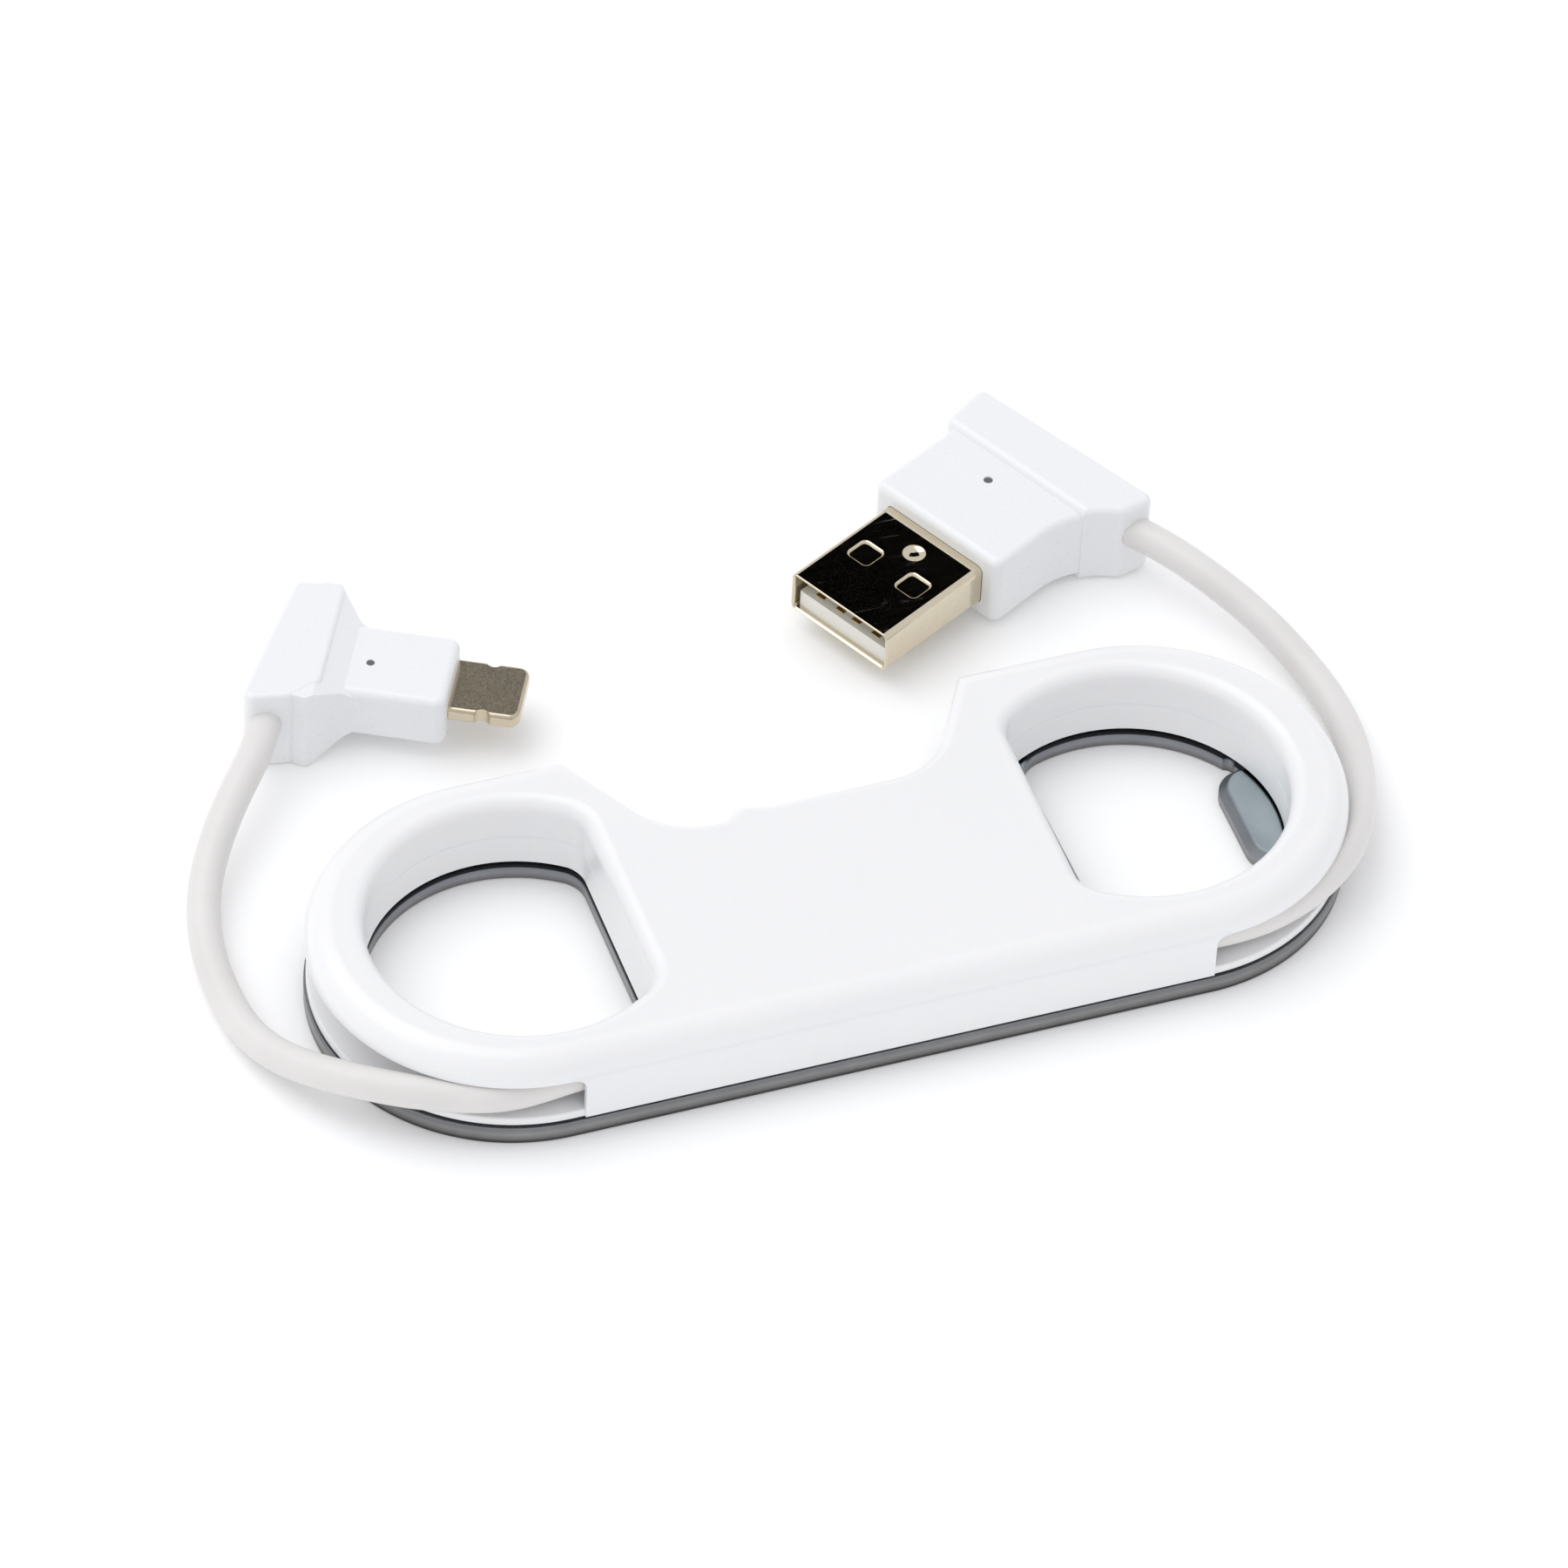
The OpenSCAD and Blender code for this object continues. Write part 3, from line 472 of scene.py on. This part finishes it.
# ABS, injection moulded in a polished mould and lightly textured: clean white with a satin gloss. The texture
# is about 0.1 mm; it is drawn at 0.25 mm. Broad clouds of tone stand for sink marks and handling.
abs_white, tree, shader, place = material("abs_moulded_white", {
    "IOR": 1.53, "Roughness": 0.3, "Coat Weight": 0.25, "Coat Roughness": 0.12,
    "Subsurface Weight": 0.06, "Subsurface Scale": 0.0015})
cloud = add(tree, "ShaderNodeTexNoise", {"Scale": 45, "Detail": 3.0}, Vector=place).outputs["Fac"]
tone = add(tree, "ShaderNodeValToRGB", {"stops": [(0, "#f1f1f2"), (1, "#f6f6f6")]},
           Fac=cloud).outputs["Color"]
grain = add(tree, "ShaderNodeTexNoise", {"Scale": 4000, "Detail": 2.0}, Vector=place).outputs["Fac"]
surface(tree, shader, tone, grain, (0.24, 0.38), (0.1, 0.00002))
lower.data.materials.append(abs_white)
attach(lower, "root")
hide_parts("lower_shell")

# The upper half of the housing. Moulded in the same white ABS: the flat top with its broad outer rounding,
# flared finger holes, the recess for both plugs, the lip over the cable and the skirt over the near tunnel.
upper_levels = [(split_z, groove_in), (lip_z, groove_in)] + edge(lip_z, 0.15, 2, 4) + edge(body_h, 2.6, 1, 18)
upper = piece("upper_shell_skin", loft(stadium, upper_levels))
hole_edge_r, recess_edge_r, beyond = 1.5, 1.2, 11
high_cut = [(4.4, part_line), (split_z, part_line), (split_z + part_line, 0)]
flare = high_cut + edge(body_h, hole_edge_r, 3, 12) + [(beyond, hole_edge_r)]
cut(upper, "DIFFERENCE",
    tool(recess, high_cut + edge(body_h, recess_edge_r, 3, 10) + [(beyond, recess_edge_r)]),
    tool(d_hole(bridge_half, -1), flare), tool(d_hole(bridge_half, 1), flare), *sockets())
skirt_left, skirt_right, skirt_face, skirt_t = -29.0, 30.35, -17.7, 0.7
wing_z = lip_z + 0.02
skirt_plan = rounded([(skirt_left, shell_z, 0), (skirt_right, shell_z, 0), (skirt_right, wing_z, 1.0),
                      (31.6, wing_z, 0), (31.6, lip_z + 0.35, 0), (-30.6, lip_z + 0.35, 0),
                      (-30.6, wing_z, 0), (skirt_left, wing_z, 1.2)], 9)
verts, faces = loft(skirt_plan, edge(0, 0.15, 2, 3) + edge(skirt_t, 0.1, 1, 3))
gather(upper, piece("skirt", (np.stack([verts[:, 0], skirt_face - verts[:, 2], verts[:, 1]], 1), faces)))
finish_faces(upper)
upper.data.materials.append(abs_white)
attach(upper, "root")
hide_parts("upper_shell")


# The wide plug's metal shell. Thin steel sheet folded to a flat box and nickel plated to a mirror, with two
# latch windows in its top and two in its underside and a small dent pressed behind them.
def plug_piece(name, plug, *solids):
    """A piece given in a plug's own frame, tip at the origin and X back along it, turned and moved to the
    plug's place."""
    (x, y), turn = plug
    a = math.radians(turn)
    frame_turn = np.array([[math.cos(a), -math.sin(a), 0], [math.sin(a), math.cos(a), 0], [0, 0, 1]])
    return piece(name, *[(np.asarray(v) @ frame_turn.T + [x, y, plug_z], f) for v, f in solids])


def bar(w, h, r, levels, step=9):
    """Solid along X whose section is a round-cornered rectangle, grown by g at each x of levels."""
    section = rounded([(w / 2, -h / 2, r), (w / 2, h / 2, r), (-w / 2, h / 2, r), (-w / 2, -h / 2, r)], step)
    verts, faces = loft(section, levels)
    return verts[:, [2, 0, 1]], faces


plug_z, wide_plug, blade_plug = 4.5, (wide_tip, wide_turn), (blade_tip, blade_turn)
usb_w, usb_h, usb_sheet, usb_corner, usb_reach, usb_len = 12.0, 4.5, 0.3, 0.6, 12.9, 18.7
usb_shell = plug_piece("usb_shell_sheet", wide_plug,
                       bar(usb_w, usb_h, usb_corner, [(0, -0.09), (0.03, -0.03), (0.1, 0), (usb_len, 0)], 6))
cut(usb_shell, "DIFFERENCE",
    plug_piece("tool", wide_plug, bar(usb_w - 2 * usb_sheet, usb_h - 2 * usb_sheet, usb_corner - usb_sheet,
                                      [(-1, 0.12), (0, 0.12), (0.18, 0), (usb_len + 1, 0)])))
# The windows' rims are rolled in a little on both faces.
window = rounded([(7.9, 1.8, 0.45), (7.9, 4.2, 0.45), (5.5, 4.2, 0.45), (5.5, 1.8, 0.45)], 12)
window_cut = [(-3, 0.19), (-2.25, 0.19), (-2.18, 0.07), (-2.06, 0), (2.06, 0), (2.18, 0.07), (2.25, 0.19),
              (3, 0.19)]
for side in (-1, 1):
    moved = window if side > 0 else (window * [1, -1, 1, -1])[::-1]
    cut(usb_shell, "DIFFERENCE", plug_piece("tool", wide_plug, loft(moved, window_cut)))
dent_r, dent_depth = 1.1, 0.25
bowl = [(usb_h / 2 - dent_depth * math.cos(t), -dent_r + dent_r * math.sin(t))
        for t in np.linspace(0.05, math.pi / 2, 10)]
cut(usb_shell, "DIFFERENCE", plug_piece("tool", wide_plug, disc(9.9, -0.15, dent_r, bowl + [(3, 0)])))
# The springs of the latches, thin leaves seen under the windows.
leaf_z, leaf_half = 1.99, 0.04
leaves = [box(5.3, 8.1, s * 3 - 1.4, s * 3 + 1.4, s2 * leaf_z - leaf_half, s2 * leaf_z + leaf_half)
          for s in (-1, 1) for s2 in (-1, 1)]
gather(usb_shell, plug_piece("leaves", wide_plug, *leaves))
finish_faces(usb_shell, 24)

# Nickel plate on steel, bright: a mirror with a warm champagne cast, faint wiping marks along the plug and
# patches rubbed dull by use.
nickel, tree, shader, place = material("nickel_bright_plate", {"Metallic": 1.0, "Roughness": 0.06})
turned = add(tree, "ShaderNodeMapping", {"Rotation": (0, 0, -math.radians(wide_turn)), "Scale": (0.12, 1, 1)},
             Vector=place).outputs[0]
wipe = add(tree, "ShaderNodeTexNoise", {"Scale": 2200, "Detail": 4.0}, Vector=turned).outputs["Fac"]
tone = add(tree, "ShaderNodeValToRGB", {"stops": [(0, "#d6cbb4"), (1, "#e2d8c2")]}, Fac=wipe).outputs["Color"]
rubs = add(tree, "ShaderNodeTexNoise", {"Scale": 420, "Detail": 5.0, "Roughness": 0.75, "Distortion": 1.5},
           Vector=turned).outputs["Fac"]
rub = add(tree, "ShaderNodeMapRange", {"From Min": 0.58, "From Max": 0.72, "To Max": 0.16}, Value=rubs)
shine = add(tree, "ShaderNodeMapRange", {"To Min": 0.03, "To Max": 0.1}, Value=wipe)
worn = add(tree, "ShaderNodeMath", {"operation": "ADD"}, n0=shine.outputs[0], n1=rub.outputs[0])
surface(tree, shader, tone, wipe, bump=(0.05, 0.00001))
tree.links.new(worn.outputs[0], shader.inputs["Roughness"])
usb_shell.data.materials.append(nickel)
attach(usb_shell, "root")
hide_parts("usb_shell")


# The wide plug's insides. A glass-filled nylon tongue, off-white and matt, carries four gold-plated spring
# contacts, and a block of plain white polyethylene is moulded round the shell's root.
def plain_plastic(name, dark, light, scale, rough):
    """Matt moulded plastic: a fine speckle between two tones, with roughness and a slight bump from it."""
    made, tree, shader, place = material(name, {"Roughness": rough, "IOR": 1.5})
    speckle = add(tree, "ShaderNodeTexNoise", {"Scale": scale, "Detail": 3.0}, Vector=place).outputs["Fac"]
    tone = add(tree, "ShaderNodeValToRGB", {"stops": [(0, dark), (1, light)]}, Fac=speckle).outputs["Color"]
    surface(tree, shader, tone, speckle, (rough - 0.08, rough + 0.08), (0.06, 0.00002))
    return made


def dress(node, made):
    """Puts a material on a carried-over CAD node."""
    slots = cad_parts[node].data.materials
    slots.clear()
    slots.append(made)


dress("usb_tongue", plain_plastic("nylon_glass_filled", "#e6e3da", "#f0eee6", 2600, 0.5))
dress("usb_inner_mould", plain_plastic("polyethylene_natural", "#e2e1d8", "#ecebe3", 1500, 0.45))
# Gold flash over nickel on copper alloy, rolled: bright yellow with a fine grain from rolling.
gold, tree, shader, place = material("gold_flash_rolled", {"Metallic": 1.0, "Roughness": 0.35})
grain = add(tree, "ShaderNodeTexNoise", {"Scale": 4000, "Detail": 2.0}, Vector=place).outputs["Fac"]
tone = add(tree, "ShaderNodeValToRGB", {"stops": [(0, "#d9b766"), (1, "#e8cb80")]},
           Fac=grain).outputs["Color"]
surface(tree, shader, tone, grain, (0.3, 0.45))
contacts = [f"usb_contact_{i}" for i in range(1, 5)] + [f"phone_contact_{i}" for i in range(1, 9)]
for name in contacts:
    dress(name, gold)


# The wide plug's moulding. White polycarbonate blend, moulded over the shell's root: a neck as wide as the
# shell, a taller cross bar behind it and a hollow flank that sweeps out to the cable, which leaves through a
# shallow dimple.
def dimple(exit_at, way):
    """Cutter for the dimple round the cable: a cylinder along Y with a softened mouth."""
    levels = [(0, 0), (exit_depth - 0.15, 0), (exit_depth, 0.1), (exit_depth + 1.2, 0.12)]
    verts, faces = disc(0, 0, cable_d / 2 + 0.2, levels)
    return np.stack([exit_at[0] + verts[:, 0] * way, exit_at[1] - way * exit_depth + way * verts[:, 2],
                     cable_z - plug_z + verts[:, 1]], 1), faces


def slab(corners, height, r, step=5):
    """Solid of one plan with rounded top and bottom edges, centred on the plug's height."""
    return loft(rounded(corners, step), edge(-height / 2, r, 2, 8) + edge(height / 2, r, 1, 8))


neck_half, sweep_r, bar_h, mould_r = 7.9, 8.3, 9.0, 0.8
sweep = np.array([19.3, -neck_half - sweep_r])


def on_sweep(angle, r=sweep_r):
    """Point at an angle, in radians from straight up, on a circle round the flank's centre."""
    return sweep + r * np.array([math.sin(angle), math.cos(angle)])


def knee(a, b):
    """Corner whose rounding is the flank's arc between the angles a and b."""
    return on_sweep(math.radians((a + b) / 2), sweep_r / math.cos(math.radians((b - a) / 2)))


bar_front, end_a = 23.4, 51
start_a = math.degrees(math.asin((bar_front - sweep[0]) / sweep_r))
tip_a, tip_b = math.radians(end_a), math.radians(start_a + 12)
neck_end = on_sweep(tip_b) + [0.3, 0.12 - 0.3 * math.tan(tip_b)]
neck = slab([(usb_reach, -neck_half, 1), (*(knee(0, start_a + 12) + [0, 0.12]), sweep_r), (*neck_end, 0),
             (27.5, -9, 0), (27.5, 7, 0), (24.5, neck_half, 0), (usb_reach, neck_half, 1)], 7.8, mould_r, 3)
cross_bar = slab([(bar_front, sweep[1] + sweep_r * math.cos(math.radians(start_a)), 0),
                  (*knee(start_a + 4, end_a), sweep_r),
                  (*(on_sweep(tip_a) + [0.4, -0.4 * math.tan(tip_a)]), 0.8),
                  (29.9, -12.4, 1), (29.2, 9.4, 1), (bar_front, 8.7, 1)], bar_h, mould_r, 3)
usb_mould = plug_piece("usb_overmould_skin", wide_plug, neck)
cut(usb_mould, "UNION", plug_piece("tool", wide_plug, cross_bar))
throat = [(usb_reach - 1, 0.05), (usb_reach + 0.3, 0.05), (usb_reach + 0.35, -0.4), (15, -0.4)]
cut(usb_mould, "DIFFERENCE", plug_piece("tool", wide_plug, dimple(wide_exit, -1)),
    plug_piece("tool", wide_plug, bar(usb_w, usb_h, usb_corner, throat)),
    plug_piece("tool", wide_plug, disc(20.7, 0.6, 0.45, [(3.75, -0.05), (3.8, 0), (5, 0.05)])))
finish_faces(usb_mould)
mould_white = plain_plastic("polycarbonate_blend_white", "#eff0f1", "#f2f3f4", 3000, 0.3)
mark_grey = plain_plastic("pad_printed_grey", "#55575b", "#66686c", 3000, 0.5)


def neck_dot(moulding, plug, x, y, r, z):
    """Fills the small round recess in a neck with a printed grey dot, the moulding's second material."""
    dot = plug_piece("dot", plug, disc(x, y, r, [(z - 0.04, 0), (z + 0.02, 0)]))
    dot.data.polygons.foreach_set("material_index", [1] * len(dot.data.polygons))
    gather(moulding, dot)
    moulding.data.materials.append(mould_white)
    moulding.data.materials.append(mark_grey)


neck_dot(usb_mould, wide_plug, 20.7, 0.6, 0.42, 3.77)
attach(usb_mould, "root")
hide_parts("usb_overmould")

# The blade plug's metal frame. Stainless steel, metal-injection moulded and blasted, with round sides, a
# round tip and a detent notch in each side; a black insulator with eight gold contacts fills its pocket.
blade_w, blade_t, blade_len, blade_edge_r = 6.7, 1.5, 9.0, 0.35
blade_plan = rounded([(0, -blade_w / 2, 1.0), (blade_len, -blade_w / 2, 0), (blade_len, blade_w / 2, 0),
                      (0, blade_w / 2, 1.0)], 6)
blade_levels = edge(-blade_t / 2, blade_edge_r, 2, 7) + edge(blade_t / 2, blade_edge_r, 1, 7)
blade = plug_piece("blade_frame_metal", blade_plug, loft(blade_plan, blade_levels))
cut(blade, "DIFFERENCE", plug_piece("tool", blade_plug, box(1.5, 5.6, -2.65, 2.65, -2, -0.05)),
    *[plug_piece("tool", blade_plug,
                 disc(3.4, s * (blade_w / 2 + 0.25), 0.8, [(-2, 0), (2, 0)])) for s in (-1, 1)])
finish_faces(blade)
# Stainless steel, blasted and then thinly plated: champagne, an even satin that mirrors its dark
# surroundings, with a grain of about 0.1 mm, drawn at 0.17 mm.
blasted, tree, shader, place = material("stainless_blasted", {"Metallic": 1.0, "Roughness": 0.24})
grain = add(tree, "ShaderNodeTexNoise", {"Scale": 6000, "Detail": 2.0}, Vector=place).outputs["Fac"]
tone = add(tree, "ShaderNodeValToRGB", {"stops": [(0, "#c6b9a2"), (1, "#d2c6b0")]},
           Fac=grain).outputs["Color"]
surface(tree, shader, tone, grain, (0.18, 0.28), (0.15, 0.00001))
blade.data.materials.append(blasted)
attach(blade, "root")
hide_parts("blade_frame")
dress("blade_insulator", plain_plastic("lcp_black", "#101012", "#1a1a1c", 3500, 0.4))
dress("phone_board", plain_plastic("epoxy_glass_green", "#0e3a1e", "#15492a", 900, 0.35))
dress("phone_chip", plain_plastic("epoxy_moulding_black", "#121213", "#1c1c1e", 4000, 0.5))

# The blade plug's moulding. The same white polycarbonate blend: a low narrow neck, a sloped shoulder and a
# tall bar whose far corner runs out to the cable's dimple.
neck_low, neck_high, neck_start = -4.1, 4.9, 6.6
neck = slab([(neck_start, neck_low, 1), (20, neck_low, 0), (20, neck_high, 0), (neck_start, neck_high, 1)],
            5.6, mould_r, 3)
cross_bar = slab([(17.9, -7.2, 0.9), (22.6, -6.9, 1.2), (24.8, 9.3, 1), (20.3, 8, 1), (17.9, 5.6, 1)],
                 bar_h, 0.5, 3)
flare_plan = rounded([(13, neck_low, 0), (15.9, neck_low, 1), (18.3, -7.1, 0.3), (20, -7.1, 0), (21, 7.6, 0),
                      (18.9, 8.1, 0.5), (15.8, 5, 3), (13, neck_high, 0)], 3)
# Seen from the side, the shoulder rises from the neck's height at x 16 to nearly the bar's at x 18.4.
slope = (4.4 - 2.8) / (18.4 - 16.0)
shoulder = rounded([(13, slope * 3 - 2.8, 0), (18.4, -4.4, 0.6), (22, -4.4, 0), (22, 4.4, 0),
                    (18.4, 4.4, 0.6),
                    (13, 2.8 - slope * 3, 0)], 9)
verts, faces = loft(shoulder, [(0, 0), (20, 0)])
wedge = (np.stack([verts[:, 0], 10 - verts[:, 2], verts[:, 1]], 1), faces)
phone_mould = plug_piece("phone_overmould_skin", blade_plug,
                         loft(flare_plan, [(-bar_h / 2, 0), (bar_h / 2, 0)]))
cut(phone_mould, "INTERSECT", plug_piece("tool", blade_plug, wedge))
cut(phone_mould, "UNION", plug_piece("tool", blade_plug, neck), plug_piece("tool", blade_plug, cross_bar))
cut(phone_mould, "DIFFERENCE", plug_piece("tool", blade_plug, dimple(blade_exit, 1)),
    plug_piece("tool", blade_plug,
               bar(blade_w, blade_t, 0.7, [(5.6, 0.05), (6.9, 0.05), (6.95, -0.3), (7.5, -0.3)])),
    plug_piece("tool", blade_plug, disc(14.2, 0.8, 0.4, [(2.7, -0.05), (2.75, 0), (4, 0.05)])))
finish_faces(phone_mould)
neck_dot(phone_mould, blade_plug, 14.2, 0.8, 0.37, 2.72)
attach(phone_mould, "root")
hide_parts("phone_overmould")

# The studio. A seamless sheet of matt white paper, which glows very faintly, under one broad soft box
# at the back left, in a pale room that fills the shadows. A black flag behind shows only in reflections.
floor_half = 3000.0
floor = piece("studio_floor", ([(-floor_half, -floor_half, 0), (floor_half, -floor_half, 0),
                                (floor_half, floor_half, 0), (-floor_half, floor_half, 0)], [[0, 1, 2, 3]]))
paper, tree, shader, place = material("paper_seamless", {
    "Roughness": 0.85, "Specular IOR Level": 0.2, "Emission Color": (1.0, 1.0, 1.0, 1.0),
    "Emission Strength": 0.09})
cloud = add(tree, "ShaderNodeTexNoise", {"Scale": 4}, Vector=place).outputs["Fac"]
tone = add(tree, "ShaderNodeValToRGB", {"stops": [(0, "#fafafa"), (1, "#fcfcfc")]},
           Fac=cloud).outputs["Color"]
surface(tree, shader, tone)
floor.data.materials.append(paper)

lamp_spot, lamp_size, lamp_power = np.array([-0.3, 0.25, 0.8]), 0.8, 2.55
light = bpy.data.lights.new("soft_box_top", "AREA")
light.shape, light.size, light.size_y = "RECTANGLE", lamp_size, lamp_size
light.energy, light.color = lamp_power, linear("#ffffff")[:3]
lamp = bpy.data.objects.new("soft_box_top", light)
back = lamp_spot / np.linalg.norm(lamp_spot)
side = np.cross([0, 1, 0.01], back)
side /= np.linalg.norm(side)
lamp.matrix_world = stand(side, np.cross(back, side), back, lamp_spot)
scene.collection.objects.link(lamp)

flag = piece("studio_flag", box(250, 950, 1500, 1510, 1250, 2050))
dark, tree, shader, place = material("flag_black_velvet", {"Roughness": 0.9, "Specular IOR Level": 0.0})
weave = add(tree, "ShaderNodeTexNoise", {"Scale": 40}, Vector=place).outputs["Fac"]
tone = add(tree, "ShaderNodeValToRGB", {"stops": [(0, "#050505"), (1, "#0a0a0a")]},
           Fac=weave).outputs["Color"]
surface(tree, shader, tone)
flag.data.materials.append(dark)
flag.visible_camera = flag.visible_diffuse = flag.visible_shadow = False
room = bpy.data.worlds.new("pale_room")
scene.world = room
room.use_nodes = True
room.node_tree.nodes["Background"].inputs["Color"].default_value = linear("#fbfcff")
room.node_tree.nodes["Background"].inputs["Strength"].default_value = 0.83
scene.view_settings.view_transform = "Standard"
